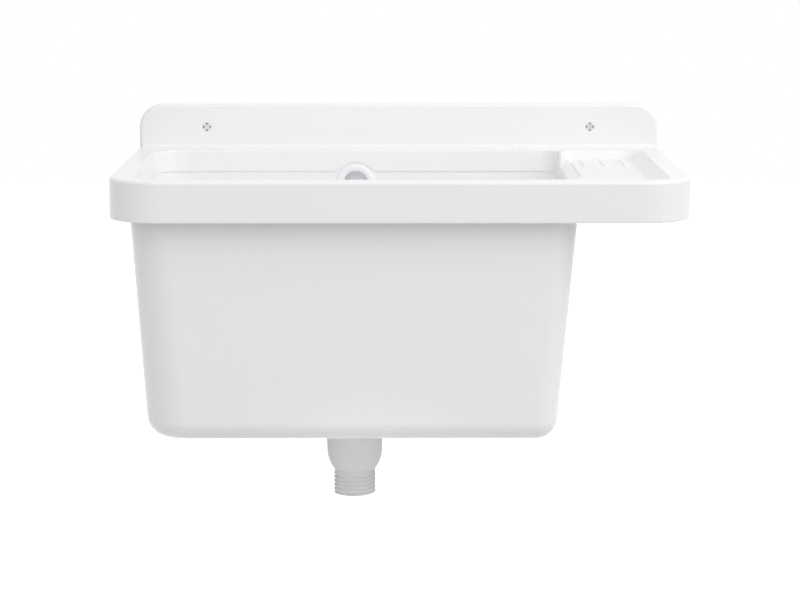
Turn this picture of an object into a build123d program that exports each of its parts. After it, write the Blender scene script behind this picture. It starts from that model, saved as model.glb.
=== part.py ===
from build123d import *
import os
from math import atan2, cos, radians, sin, tan

# A wall-hung utility basin: one plastic moulding with a deep bowl, a soap tray beside it
# and a back plate, with its screws, its overflow fitting and its waste fitting.
# X runs to the right, Y into the wall, Z up. The origin is on the wall, midway between
# the two screw holes. All sizes are in millimetres.

os.makedirs("parts", exist_ok=True)

# Rim and back plate
basin_width = 600
basin_depth = 400
wall = 3.5
apron_height = 43
rim_corner_radius = 57
rim_edge_radius = 4
apron_foot_radius = 1.5
plate_height = 49
plate_thickness = 10
plate_corner_radius = 27
plate_edge_radius = 4
plate_foot_radius = 2.5
plate_rib_count = 5
rib_thickness = 2.5

# Wall fixing
screw_spacing = 444
screw_below_plate_top = 26.5
screw_diameter = 5
screw_length = 50
screw_head_diameter = 10
screw_head_height = 2.8
screw_tip_length = 6
screw_hole_clearance = 0.3
screw_boss_diameter = 18
wall_plug_diameter = 8
wall_plug_length = 40
wall_plug_slit = 1.2
wall_plug_slit_length = 17
cross_recess_width = 4.6
cross_recess_slot = 1
cross_recess_depth = 2

# Bowl
left_strip = 22.5
front_strip = 20
back_strip = 47
tub_depth = 276
floor_thickness = 4
left_draft = 3.6
right_draft = 4.9
front_back_draft = 4.2
left_corner_radius = 40
right_corner_radius = 20
tub_foot_radius = 22
bowl_edge_radius = 2

# Raised band round the top of the bowl, which arches over the overflow
band_height = 24
band_thickness = 1.2
arch_gap = 2
arch_flare_radius = 8

# Soap tray
tray_divider = 5
tray_width = 90.5
right_strip = 22.5
tray_back_setback = 2
tray_depth = 10.5
tray_corner_radius = 20
tray_side_run = 16
tray_end_run = 9
tray_floor_radius = 7
lip_run = 12
lip_drop = 4.5
lip_edge_radius = 2
tray_divider_length = 22
kerb_width = 5
kerb_height = 1.4
kerb_length = 180
kerb_setback = 200
soap_rib_count = 3
soap_rib_spacing = 22.5
soap_rib_start = 12
soap_rib_length = 70
soap_rib_width = 5
soap_rib_height = 1.6
soap_rib_end_gap = 4
rib_flank_angle = 30
under_rib_height = 22
under_rib_count = 3

# Overflow fitting
overflow_drop = 37.7
overflow_bore = 28
overflow_flange_diameter = 44
overflow_flange_thickness = 3
sleeve_wall = 2
sleeve_clearance = 0.3
sleeve_reach = 16
gasket_thickness = 2.5
gasket_diameter = 48
elbow_flange_thickness = 3.5
elbow_diameter = 38
elbow_back_wall = 2.5
elbow_axis_reach = 26

# Overflow hose and its two screwed joints
hose_bore = 18.6
hose_root_diameter = 21.6
hose_crest_diameter = 25
hose_cuff_diameter = 23
hose_cuff_length = 34
hose_bend_radius = 58
hose_rib_pitch = 4.5
hose_rib_crest = 1.8
hose_rib_flank = 0.9
hose_insert = 14
hose_clearance = 0.3
joint_stub_diameter = 30
joint_stub_length = 22
hose_stop_depth = 14
hose_stop_bore = 19
joint_thread_clearance = 0.3
nut_diameter = 37
nut_overlap = 11
nut_lip = 3
nut_grip_count = 12
nut_grip_depth = 0.9
seal_height = 3.5
seal_squeeze = 0.05

# Waste fitting
drain_setback = 190
drain_offset = 1.35
drain_recess_depth = 3
drain_hole_diameter = 54
drain_boss_diameter = 84
drain_boss_height = 3
dish_diameter = 68
dish_gasket_diameter = 71
dish_gasket_thickness = 1.5
dish_thickness = 1.2
dish_mouth_diameter = 50
dish_foot_diameter = 40
dish_sink = 11
dish_hole_diameter = 5.5
dish_hole_circle = 26
dish_hole_count = 6
body_gasket_thickness = 3
body_flange_diameter = 72
body_flange_thickness = 5
cup_diameter = 62.4
cup_foot_diameter = 60.4
cup_bore = 54
cup_depth = 33
shoulder_depth = 22
shoulder_diameter = 45.4
shoulder_middle_diameter = 57
neck_groove_diameter = 43
neck_groove_height = 1.5
collar_diameter = 44.2
collar_height = 2.5
tail_bore = 36
tail_length = 23.5
thread_crest_diameter = 45.8
thread_root_diameter = 41.2
thread_pitch = 4.4
thread_foot_width = 3.7
thread_crest_width = 1.1
thread_lead_in = 1
funnel_depth = 10
inlet_drop = 19
inlet_reach = 52
hub_diameter = 16
hub_depth = 14
hub_below_dish = 12
web_thickness = 3
insert_diameter = 10
insert_length = 12
waste_screw_diameter = 6
waste_screw_length = 24
waste_screw_head_diameter = 12
waste_screw_head_height = 2.6
waste_screw_slot_width = 1.4
plain_fit = 0.05

# Drain plug
plug_flange_diameter = 56
plug_flange_thickness = 3
plug_clearance = 0.3
plug_body_depth = 8
plug_hollow_diameter = 28
plug_hollow_depth = 5
plug_knob_diameter = 15
plug_knob_height = 11
plug_neck_diameter = 8

# Levels and faces that follow from the sizes above
rim_z = screw_below_plate_top - plate_height
apron_foot_z = rim_z - apron_height
plate_top_z = rim_z + plate_height
plate_full_height = plate_top_z - apron_foot_z
deck_underside_z = rim_z - wall
tub_foot_z = rim_z - tub_depth
floor_z = tub_foot_z + floor_thickness
plate_face_y = -plate_thickness
bowl_left = -basin_width / 2 + left_strip
bowl_right = basin_width / 2 - right_strip - tray_width - tray_divider
bowl_front = -basin_depth + front_strip
bowl_back = plate_face_y - back_strip
band_foot_z = rim_z - band_height
tray_floor_z = rim_z - tray_depth
drain_x = (bowl_left + bowl_right) / 2 - drain_offset
drain_y = -basin_depth + drain_setback
drain_recess_z = floor_z - drain_recess_depth
drain_boss_z = tub_foot_z - drain_boss_height
overflow_x = drain_x
overflow_z = rim_z - overflow_drop


def inward(drop, draft):
    """How far a drafted wall has moved in, drop below the rim."""
    return drop * tan(radians(draft))


def bowl_section(drop, grow):
    """The bowl's outline, drop below the rim, grown outwards by grow from the band's face."""
    left = bowl_left + inward(drop, left_draft) - grow
    right = bowl_right - inward(drop, right_draft) + grow
    front = bowl_front + inward(drop, front_back_draft) - grow
    back = bowl_back - inward(drop, front_back_draft) + grow
    with BuildSketch(Plane.XY.offset(rim_z - drop)) as section:
        with Locations(((left + right) / 2, (front + back) / 2)):
            Rectangle(right - left, back - front)
        fillet(section.vertices().group_by(Axis.X)[0], left_corner_radius + grow)
        fillet(section.vertices().group_by(Axis.X)[-1], right_corner_radius + grow)
    return section.sketch


def tray_section(drop, grow):
    """The soap tray's outline, drop below the rim, grown outwards by grow."""
    run = drop / tray_depth
    left = bowl_right + tray_divider - grow
    right = basin_width / 2 - right_strip - tray_side_run * run + grow
    front = bowl_front + tray_end_run * run - grow
    back = bowl_back - tray_back_setback - tray_end_run * run + grow
    with BuildSketch(Plane.XY.offset(rim_z - drop)) as section:
        with Locations(((left + right) / 2, (front + back) / 2)):
            Rectangle(right - left, back - front)
        fillet(section.vertices(), tray_corner_radius - tray_end_run * run + grow)
    return section.sketch


# Hollow rim with its apron
with BuildPart() as rim_block:
    with BuildSketch(Plane.XY.offset(rim_z)) as rim_outline:
        with Locations((0, -basin_depth / 2)):
            Rectangle(basin_width, basin_depth)
        fillet(rim_outline.vertices().group_by(Axis.Y)[0], rim_corner_radius)
    extrude(amount=-apron_height)
    fillet(rim_block.faces().sort_by(Axis.Z)[-1].edges().sort_by(Axis.Y)[:-1], rim_edge_radius)
    fillet(rim_block.faces().sort_by(Axis.Z)[0].edges().sort_by(Axis.Y)[:-1], apron_foot_radius)
    with BuildSketch(Plane.XY.offset(apron_foot_z)) as rim_hollow:
        hollow_depth = basin_depth - wall - plate_thickness
        with Locations((0, plate_face_y - hollow_depth / 2)):
            Rectangle(basin_width - 2 * wall, hollow_depth)
        fillet(rim_hollow.vertices().group_by(Axis.Y)[0], rim_corner_radius - wall)
    extrude(amount=apron_height - wall, mode=Mode.SUBTRACT)

# Back plate, a shallow tray of its own that is open towards the wall
with BuildPart() as plate:
    with BuildSketch(Plane.XZ) as plate_outline:
        with Locations((0, apron_foot_z + plate_full_height / 2)):
            Rectangle(basin_width, plate_full_height)
        fillet(plate_outline.vertices().group_by(Axis.Y)[-1], plate_corner_radius)
    extrude(amount=plate_thickness)
    fillet(plate.faces().sort_by(Axis.Y)[0].edges().sort_by(Axis.Z)[1:], plate_edge_radius)

with BuildPart() as plate_hollow:
    with BuildSketch(Plane.XZ) as hollow_outline:
        with Locations((0, apron_foot_z + plate_full_height / 2)):
            Rectangle(basin_width - 2 * wall, plate_full_height - 2 * wall)
        fillet(hollow_outline.vertices().group_by(Axis.Y)[-1], plate_corner_radius - wall)
    extrude(amount=plate_thickness - wall)
    with BuildSketch(Plane.XZ) as bosses:
        with GridLocations(screw_spacing, 0, 2, 1):
            Circle(screw_boss_diameter / 2)
    extrude(amount=plate_thickness - wall, mode=Mode.SUBTRACT)
    with BuildSketch(Plane.XZ) as plate_ribs:
        with Locations((0, apron_foot_z + plate_full_height / 2)):
            with GridLocations(basin_width / (plate_rib_count + 1), 0, plate_rib_count, 1):
                Rectangle(rib_thickness, plate_full_height)
    extrude(amount=plate_thickness - wall, mode=Mode.SUBTRACT)

# Bowl and tray as solid blocks, to be hollowed out below
with BuildPart() as tub_block:
    loft([bowl_section(0, band_thickness + wall), bowl_section(tub_depth, band_thickness + wall)], ruled=True)
    fillet(tub_block.faces().sort_by(Axis.Z)[0].edges(), tub_foot_radius)

tray_skin = wall / sin(atan2(tray_depth, tray_side_run))
with BuildPart() as tray_block:
    loft([tray_section(0, tray_skin), tray_section(tray_depth + wall, tray_skin)], ruled=True)

# The tray's floor ends in a lip that slopes down to an edge on the bowl's wall
lip_foot_drop = tray_depth + lip_drop
lip_foot_z = rim_z - lip_foot_drop
lip_foot_x = bowl_right - inward(lip_foot_drop, right_draft)
lip_top_x = lip_foot_x + lip_run
lip_skin = wall / cos(atan2(lip_drop, lip_run))
tray_front = bowl_front + tray_end_run
tray_back = bowl_back - tray_back_setback - tray_end_run
with BuildPart() as lip_backing:
    with BuildSketch(Plane.XZ.offset(-tray_back)) as backing_profile:
        with BuildLine() as backing_outline:
            Polyline(
                (lip_foot_x, lip_foot_z),
                (lip_top_x, tray_floor_z),
                (lip_top_x, tray_floor_z - lip_skin),
                (lip_foot_x, lip_foot_z - lip_skin),
                close=True,
            )
        make_face()
    extrude(amount=tray_back - tray_front)

# Cutters for the bowl: the band's face above, the wider bowl below it
with BuildPart() as band_cut:
    loft([bowl_section(-1, 0), bowl_section(band_height, 0)], ruled=True)

with BuildPart() as bowl_cut:
    floor_drop = tub_depth - floor_thickness
    loft([bowl_section(band_height, band_thickness), bowl_section(floor_drop, band_thickness)], ruled=True)
    fillet(bowl_cut.faces().sort_by(Axis.Z)[0].edges(), tub_foot_radius - wall)

arch_radius = overflow_flange_diameter / 2 + arch_gap
with BuildPart() as arch_cut:
    arch_floor = band_height + band_thickness
    loft([bowl_section(0, band_thickness), bowl_section(arch_floor, band_thickness)], ruled=True)
    with BuildSketch(Plane.XZ.offset(-bowl_back)) as arch:
        with Locations((overflow_x, overflow_z)):
            Circle(arch_radius)
        with Locations((overflow_x, band_foot_z)):
            Rectangle(4 * arch_radius, 2 * arch_radius, align=(Align.CENTER, Align.MAX))
        corners = arch.vertices().filter_by_position(
            Axis.X, overflow_x - arch_radius, overflow_x + arch_radius)
        fillet(corners.filter_by_position(Axis.Y, band_foot_z - 1, band_foot_z + 1), arch_flare_radius)
    extrude(amount=band_height, both=True, mode=Mode.INTERSECT)

# Cutters for the tray and for its open side towards the bowl
with BuildPart() as tray_cut:
    loft([tray_section(-1, 0), tray_section(tray_depth, 0)], ruled=True)
    floor_edges = tray_cut.faces().sort_by(Axis.Z)[0].edges()
    fillet(floor_edges.sort_by(Axis.X)[1:], tray_floor_radius)

tip_back = bowl_back - tray_divider_length
tip_front = bowl_front + tray_divider_length


def divider_tips(drop):
    """Round ends of the two dividers between bowl and tray, drop below the rim."""
    draft = inward(drop, right_draft)
    radius = (tray_divider + draft) / 2
    with BuildSketch(Plane.XY.offset(rim_z - drop)) as tips:
        with Locations((bowl_right - draft + radius, (tip_back + tip_front) / 2)):
            with GridLocations(0, tip_back - tip_front, 1, 2):
                Circle(radius)
    return tips.sketch


# The lip's own section, with its edge rounded where it meets the bowl's wall
edge_foot_z = lip_foot_z - 2 * lip_edge_radius
with BuildSketch(Plane.XZ.offset(-tip_back)) as lip_section:
    with BuildLine() as lip_outline:
        Polyline(
            (bowl_right - inward(rim_z - edge_foot_z, right_draft), edge_foot_z),
            (lip_foot_x, lip_foot_z),
            (lip_top_x, tray_floor_z),
            (lip_top_x, edge_foot_z),
            close=True,
        )
    make_face()
    fillet(lip_section.vertices().sort_by(Axis.X)[1], lip_edge_radius)

with BuildPart() as tray_opening:
    opening_width = lip_top_x - bowl_right + 2 * lip_run
    with BuildSketch(Plane.XY.offset(tray_floor_z)) as opening_outline:
        with Locations((lip_top_x, (tip_back + tip_front) / 2)):
            Rectangle(opening_width, tip_back - tip_front, align=(Align.MAX, Align.CENTER))
    extrude(amount=tray_depth + 1)
    with BuildSketch(Plane.XZ.offset(-tip_back)) as lip_profile:
        with Locations((lip_top_x, tray_floor_z)):
            Rectangle(opening_width, tray_floor_z - edge_foot_z, align=Align.MAX)
        add(lip_section.sketch, mode=Mode.SUBTRACT)
    extrude(amount=tip_back - tip_front)
    tip_depth = rim_z - edge_foot_z
    loft([divider_tips(-1).faces()[0], divider_tips(tip_depth).faces()[0]], ruled=True, mode=Mode.SUBTRACT)
    loft([divider_tips(-1).faces()[1], divider_tips(tip_depth).faces()[1]], ruled=True, mode=Mode.SUBTRACT)

# The overflow's own plane lies on the bowl's leaning back wall: x to the right, y up the
# wall, z out into the bowl.
tilt = radians(front_back_draft)
overflow_y = bowl_back + band_thickness - inward(overflow_drop, front_back_draft)
overflow_plane = Plane(
    origin=(overflow_x, overflow_y, overflow_z),
    x_dir=(1, 0, 0),
    z_dir=(0, -cos(tilt), sin(tilt)),
)
down_the_wall = Vector(0, -sin(tilt), -cos(tilt))
sleeve_radius = overflow_bore / 2 + sleeve_wall

# Basin: the outside put together, then hollowed out
with BuildPart() as basin:
    add(rim_block.part)
    add(plate.part)
    foot_edge = basin.edges().filter_by(Axis.X).filter_by(
        lambda edge: abs(edge.center().Z - rim_z) < 0.01 and abs(edge.center().Y - plate_face_y) < 0.01
    )
    fillet(foot_edge, plate_foot_radius)
    add(plate_hollow.part, mode=Mode.SUBTRACT)
    with BuildSketch(Plane.XY.offset(deck_underside_z)) as under_ribs:
        rib_start_x = bowl_right
        with Locations((rib_start_x, (tip_back + tip_front) / 2)):
            with GridLocations(0, (tip_back - tip_front) / (under_rib_count - 1), 1, under_rib_count):
                under_rib_length = basin_width / 2 - wall / 2 - rib_start_x
                Rectangle(under_rib_length, rib_thickness, align=(Align.MIN, Align.CENTER))
    extrude(amount=-under_rib_height)
    add(tub_block.part)
    add(tray_block.part)
    add(lip_backing.part)
    with BuildSketch(Plane.XY.offset(tub_foot_z)) as drain_boss:
        with Locations((drain_x, drain_y)):
            Circle(drain_boss_diameter / 2)
    extrude(amount=-drain_boss_height)
    add(band_cut.part, mode=Mode.SUBTRACT)
    add(bowl_cut.part, mode=Mode.SUBTRACT)
    add(arch_cut.part, mode=Mode.SUBTRACT)
    add(tray_cut.part, mode=Mode.SUBTRACT)
    add(tray_opening.part, mode=Mode.SUBTRACT)
    deck_faces = basin.faces().filter_by(Axis.Z).filter_by(
        lambda face: abs(face.center().Z - rim_z) < 0.01
    )
    fillet(deck_faces.sort_by(SortBy.AREA)[-1].inner_wires()[0].edges(), bowl_edge_radius)
    # Kerb along the lip, and the short ribs that lift the soap
    kerb_x = lip_top_x + kerb_width / 2
    with BuildSketch(Plane.XY.offset(tray_floor_z)) as kerb:
        with Locations((kerb_x, -basin_depth + kerb_setback)):
            SlotOverall(kerb_length, kerb_width, rotation=90)
    extrude(amount=kerb_height, taper=rib_flank_angle)
    with BuildSketch(Plane.XY.offset(tray_floor_z)) as soap_ribs:
        rib_row_x = kerb_x + soap_rib_start + soap_rib_spacing * (soap_rib_count - 1) / 2
        rib_row_y = tray_back - soap_rib_end_gap - soap_rib_length / 2
        with Locations((rib_row_x, rib_row_y)):
            with GridLocations(soap_rib_spacing, 0, soap_rib_count, 1):
                SlotOverall(soap_rib_length, soap_rib_width, rotation=90)
    extrude(amount=soap_rib_height, taper=rib_flank_angle)
    # Screw holes with their countersinks
    with Locations(Plane.XZ.offset(plate_thickness)):
        with GridLocations(screw_spacing, 0, 2, 1):
            CounterSinkHole(
                radius=screw_diameter / 2 + screw_hole_clearance,
                counter_sink_radius=screw_head_diameter / 2 + plain_fit,
                depth=plate_thickness,
                counter_sink_angle=90,
            )
    # Overflow hole
    with Locations(overflow_plane.offset(wall)):
        Hole(sleeve_radius + sleeve_clearance, depth=3 * wall)
    # Drain hole in its shallow recess
    with BuildSketch(Plane.XY.offset(drain_recess_z)) as recess:
        with Locations((drain_x, drain_y)):
            Circle(dish_gasket_diameter / 2 + plain_fit)
    extrude(amount=2 * drain_recess_depth, mode=Mode.SUBTRACT)
    with BuildSketch(Plane.XY.offset(drain_boss_z)) as drain_hole:
        with Locations((drain_x, drain_y)):
            Circle(drain_hole_diameter / 2)
    extrude(amount=2 * floor_thickness, mode=Mode.SUBTRACT)
basin.part.label = "basin"

# Two countersunk wall screws with a cross recess
screw_shank = screw_length - screw_tip_length
countersink_depth = (screw_head_diameter - screw_diameter) / 2
tip_end_radius = screw_diameter / 10
with BuildPart() as wall_screws:
    with Locations(Plane.XZ.offset(plate_thickness)):
        with GridLocations(screw_spacing, 0, 2, 1):
            from_top = (Align.CENTER, Align.CENTER, Align.MAX)
            Cylinder(screw_diameter / 2, screw_shank, align=from_top)
            Cone(screw_diameter / 2, screw_head_diameter / 2, countersink_depth, align=from_top)
    with Locations(Plane.XZ.offset(plate_thickness - screw_shank)):
        with GridLocations(screw_spacing, 0, 2, 1):
            Cone(tip_end_radius, screw_diameter / 2, screw_tip_length, align=from_top)
    with BuildSketch(Plane.XZ.offset(plate_thickness)) as cross_recess:
        with GridLocations(screw_spacing, 0, 2, 1):
            Rectangle(cross_recess_width, cross_recess_slot, rotation=45)
            Rectangle(cross_recess_width, cross_recess_slot, rotation=-45)
    extrude(amount=-cross_recess_depth, mode=Mode.SUBTRACT)
wall_screws.part.label = "wall_screws"

# Two plastic wall plugs, split at their far end so that they spread
with BuildPart() as wall_plugs:
    with BuildSketch(Plane.XZ) as plug_rings:
        with GridLocations(screw_spacing, 0, 2, 1):
            Circle(wall_plug_diameter / 2)
            Circle(screw_diameter / 2 + plain_fit, mode=Mode.SUBTRACT)
    extrude(amount=-wall_plug_length)
    with BuildSketch(Plane.XZ.offset(-wall_plug_length)) as slits:
        with GridLocations(screw_spacing, 0, 2, 1):
            Rectangle(wall_plug_diameter + 1, wall_plug_slit)
    extrude(amount=wall_plug_slit_length, mode=Mode.SUBTRACT)
wall_plugs.part.label = "wall_plugs"

# Overflow ring, turned about the overflow's axis
overflow_profile = Plane(origin=overflow_plane.origin, x_dir=(1, 0, 0), z_dir=down_the_wall)
overflow_axis = Axis(overflow_plane.origin, overflow_plane.z_dir)
ring_radius = overflow_flange_diameter / 2
with BuildPart() as overflow_ring:
    with BuildSketch(overflow_profile) as ring_profile:
        with Locations((overflow_bore / 2, -sleeve_reach)):
            Rectangle(sleeve_wall, sleeve_reach, align=Align.MIN)
        with Locations((overflow_bore / 2, 0)):
            Rectangle(ring_radius - overflow_bore / 2, overflow_flange_thickness, align=Align.MIN)
        fillet(ring_profile.vertices().group_by(Axis.Y)[-1], overflow_flange_thickness - 2 * plain_fit)
    revolve(axis=overflow_axis)
overflow_ring.part.label = "overflow_ring"

# Gasket between the bowl's back wall and the elbow
bowl_skin = wall * cos(tilt)
elbow_face = bowl_skin + gasket_thickness
with BuildPart() as overflow_gasket:
    with BuildSketch(overflow_plane.offset(-elbow_face)) as gasket_ring:
        Circle(gasket_diameter / 2)
        Circle(sleeve_radius + sleeve_clearance, mode=Mode.SUBTRACT)
    extrude(amount=gasket_thickness)
overflow_gasket.part.label = "overflow_gasket"

# Elbow behind the wall, with a stub that points down the wall
stub_radius = joint_stub_diameter / 2
elbow_end = elbow_axis_reach + stub_radius + elbow_back_wall
upper_stub_end = elbow_diameter / 2 + joint_stub_length
outlet_plane = Plane(
    origin=overflow_plane.from_local_coords(Vector(0, 0, -elbow_axis_reach)),
    x_dir=(1, 0, 0),
    z_dir=down_the_wall,
)
with BuildPart() as overflow_elbow:
    with BuildSketch(overflow_plane.offset(-elbow_face)) as elbow_flange:
        Circle(gasket_diameter / 2)
    extrude(amount=-elbow_flange_thickness)
    with BuildSketch(overflow_plane.offset(-elbow_face)) as elbow_body:
        Circle(elbow_diameter / 2)
    extrude(amount=elbow_face - elbow_end)
    fillet(overflow_elbow.faces().sort_by(Axis.Y)[-1].edges(), elbow_back_wall)
    with BuildSketch(outlet_plane) as elbow_stub:
        Circle(stub_radius)
    extrude(amount=upper_stub_end)
    with BuildSketch(overflow_plane.offset(-elbow_face)) as elbow_socket:
        Circle(sleeve_radius + sleeve_clearance)
    extrude(amount=elbow_face - sleeve_reach - sleeve_clearance, mode=Mode.SUBTRACT)
    with BuildSketch(overflow_plane.offset(-elbow_face)) as elbow_chamber:
        Circle(overflow_bore / 2)
    extrude(amount=elbow_face - elbow_end + elbow_back_wall, mode=Mode.SUBTRACT)
    with BuildSketch(outlet_plane) as elbow_outlet:
        Circle(hose_stop_bore / 2)
    extrude(amount=upper_stub_end, mode=Mode.SUBTRACT)
    with BuildSketch(outlet_plane.offset(upper_stub_end)) as elbow_hose_socket:
        Circle(hose_cuff_diameter / 2 + hose_clearance)
    extrude(amount=-hose_stop_depth, mode=Mode.SUBTRACT)
overflow_elbow.part.label = "overflow_elbow"

# Inlet of the waste fitting, level and pointing at the wall
inlet_z = drain_boss_z - body_gasket_thickness - inlet_drop
inlet_plane = Plane(origin=(drain_x, drain_y, inlet_z), x_dir=(1, 0, 0), z_dir=(0, 1, 0))


def hose_nut(plane, stub_end):
    """Grip nut over a hose joint; plane looks along the stub, which ends at stub_end."""
    start = stub_end - nut_overlap
    length = nut_overlap + seal_height + nut_lip
    with BuildPart() as nut:
        with BuildSketch(plane.offset(start)) as nut_outline:
            Circle(nut_diameter / 2)
            with PolarLocations(nut_diameter / 2, nut_grip_count):
                Circle(nut_grip_depth, mode=Mode.SUBTRACT)
        extrude(amount=length)
        with BuildSketch(plane.offset(start)) as nut_bore:
            Circle(stub_radius + joint_thread_clearance)
        extrude(amount=length - nut_lip, mode=Mode.SUBTRACT)
        with BuildSketch(plane.offset(start)) as nut_hole:
            Circle(hose_crest_diameter / 2 + hose_clearance)
        extrude(amount=length, mode=Mode.SUBTRACT)
    return nut.part


def hose_seal(plane, stub_end):
    """Rubber ring round the hose's cuff, between the stub's mouth and the nut's lip."""
    with BuildPart() as seal:
        with BuildSketch(plane.offset(stub_end)) as seal_ring:
            Circle(stub_radius)
            Circle(hose_cuff_diameter / 2 + seal_squeeze, mode=Mode.SUBTRACT)
        extrude(amount=seal_height)
    return seal.part


with BuildPart() as upper_hose_nut:
    add(hose_nut(outlet_plane, upper_stub_end))
upper_hose_nut.part.label = "upper_hose_nut"

with BuildPart() as upper_hose_seal:
    add(hose_seal(outlet_plane, upper_stub_end))
upper_hose_seal.part.label = "upper_hose_seal"

with BuildPart() as lower_hose_nut:
    add(hose_nut(inlet_plane, inlet_reach))
lower_hose_nut.part.label = "lower_hose_nut"

with BuildPart() as lower_hose_seal:
    add(hose_seal(inlet_plane, inlet_reach))
lower_hose_seal.part.label = "lower_hose_seal"

# Ribbed overflow hose: down the bowl's back wall, then forward under it to the inlet
hose_top = outlet_plane.from_local_coords(Vector(0, 0, upper_stub_end - hose_stop_depth))
hose_end = inlet_plane.from_local_coords(Vector(0, 0, inlet_reach - hose_stop_depth))
hose_corner = hose_top + down_the_wall * ((hose_top.Z - inlet_z) / cos(tilt))
with BuildLine() as hose_route:
    FilletPolyline(hose_top, hose_corner, hose_end, radius=hose_bend_radius)
route = hose_route.wires()[0]
print("hose: length", round(route.length, 1), "bend radius", hose_bend_radius)


def hose_ring(distance, diameter):
    """A circle square to the hose's route, distance along it."""
    at = distance / route.length
    plane = Plane(origin=route @ at, x_dir=(1, 0, 0), z_dir=route % at)
    with BuildSketch(plane) as ring:
        Circle(diameter / 2)
    return ring.sketch


rib_room = route.length - 2 * hose_cuff_length
hose_rib_count = int(rib_room / hose_rib_pitch)
rib_margin = (rib_room - hose_rib_count * hose_rib_pitch) / 2
hose_rings = [hose_ring(0, hose_cuff_diameter), hose_ring(hose_cuff_length, hose_cuff_diameter)]
hose_valley = hose_rib_pitch - hose_rib_crest - 2 * hose_rib_flank
for rib in range(hose_rib_count):
    foot = hose_cuff_length + rib_margin + hose_valley / 2 + rib * hose_rib_pitch
    crest_start = foot + hose_rib_flank
    crest_end = crest_start + hose_rib_crest
    hose_rings.append(hose_ring(foot, hose_root_diameter))
    hose_rings.append(hose_ring(crest_start, hose_crest_diameter))
    hose_rings.append(hose_ring(crest_end, hose_crest_diameter))
    hose_rings.append(hose_ring(crest_end + hose_rib_flank, hose_root_diameter))
hose_rings.append(hose_ring(route.length - hose_cuff_length, hose_cuff_diameter))
hose_rings.append(hose_ring(route.length, hose_cuff_diameter))
with BuildPart() as overflow_hose:
    loft(hose_rings, ruled=True)
    with BuildSketch(Plane(origin=route @ 0, x_dir=(1, 0, 0), z_dir=route % 0)) as hose_hole:
        Circle(hose_bore / 2)
    sweep(path=route, mode=Mode.SUBTRACT)
overflow_hose.part.label = "overflow_hose"
print("hose ribs", hose_rib_count, "volume", overflow_hose.part.volume)

# Everything at the drain is turned about its upright axis; the profiles are drawn as
# radius and height on the upright plane through it.
drain_profile = Plane(origin=(drain_x, drain_y, 0), x_dir=(1, 0, 0), z_dir=(0, -1, 0))
drain_axis = Axis((drain_x, drain_y, 0), (0, 0, 1))

# Rubber rings above and below the bowl's floor
with BuildPart() as dish_gasket:
    with BuildSketch(Plane.XY.offset(drain_recess_z)) as dish_gasket_ring:
        with Locations((drain_x, drain_y)):
            Circle(dish_gasket_diameter / 2)
            Circle(drain_hole_diameter / 2, mode=Mode.SUBTRACT)
    extrude(amount=dish_gasket_thickness)
dish_gasket.part.label = "dish_gasket"

with BuildPart() as body_gasket:
    with BuildSketch(Plane.XY.offset(drain_boss_z)) as body_gasket_ring:
        with Locations((drain_x, drain_y)):
            Circle(body_flange_diameter / 2)
            Circle(drain_hole_diameter / 2, mode=Mode.SUBTRACT)
    extrude(amount=-body_gasket_thickness)
body_gasket.part.label = "body_gasket"

# Waste body: a cup under the bowl with a side inlet, a hub on four webs and a threaded tail
body_top_z = drain_boss_z - body_gasket_thickness
flange_foot_z = body_top_z - body_flange_thickness
cup_foot_z = body_top_z - cup_depth
shoulder_z = cup_foot_z - shoulder_depth
groove_z = shoulder_z - neck_groove_height
neck_z = groove_z - collar_height
tail_foot_z = neck_z - tail_length
dish_seat_z = drain_recess_z + dish_gasket_thickness
dish_foot_z = dish_seat_z + dish_thickness - dish_sink
hub_top_z = dish_foot_z - hub_below_dish
thread_depth = (thread_crest_diameter - thread_root_diameter) / 2
thread_room_radius = thread_crest_diameter / 2 + plain_fit
with BuildPart() as waste_tail:
    with BuildLine() as thread_line:
        Helix(
            pitch=thread_pitch,
            height=tail_length + thread_pitch,
            radius=thread_root_diameter / 2,
            center=(drain_x, drain_y, tail_foot_z - thread_pitch / 2),
        )
    tooth_plane = Plane(origin=thread_line.line @ 0, x_dir=(1, 0, 0), z_dir=thread_line.line % 0)
    with BuildSketch(tooth_plane) as tooth:
        with BuildLine() as tooth_outline:
            Polyline(
                (-thread_depth / 4, -thread_foot_width / 2),
                (thread_depth, -thread_crest_width / 2),
                (thread_depth, thread_crest_width / 2),
                (-thread_depth / 4, thread_foot_width / 2),
                close=True,
            )
        make_face()
    sweep(is_frenet=True)
    # Cut to the tail's length with a lead-in at its mouth, then put on its core
    with BuildSketch(drain_profile) as tail_room:
        with BuildLine() as tail_room_outline:
            Polyline(
                (0, tail_foot_z),
                (thread_room_radius - thread_lead_in, tail_foot_z),
                (thread_room_radius, tail_foot_z + thread_lead_in),
                (thread_room_radius, neck_z),
                (0, neck_z),
                close=True,
            )
        make_face()
    revolve(axis=drain_axis, mode=Mode.INTERSECT)
    with BuildSketch(Plane.XY.offset(tail_foot_z).rotated((0, 0, 45))) as tail_core:
        with Locations(tail_core.workplanes[0].to_local_coords(Vector(drain_x, drain_y, tail_foot_z))):
            Circle(thread_root_diameter / 2)
    extrude(amount=tail_length)

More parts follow.
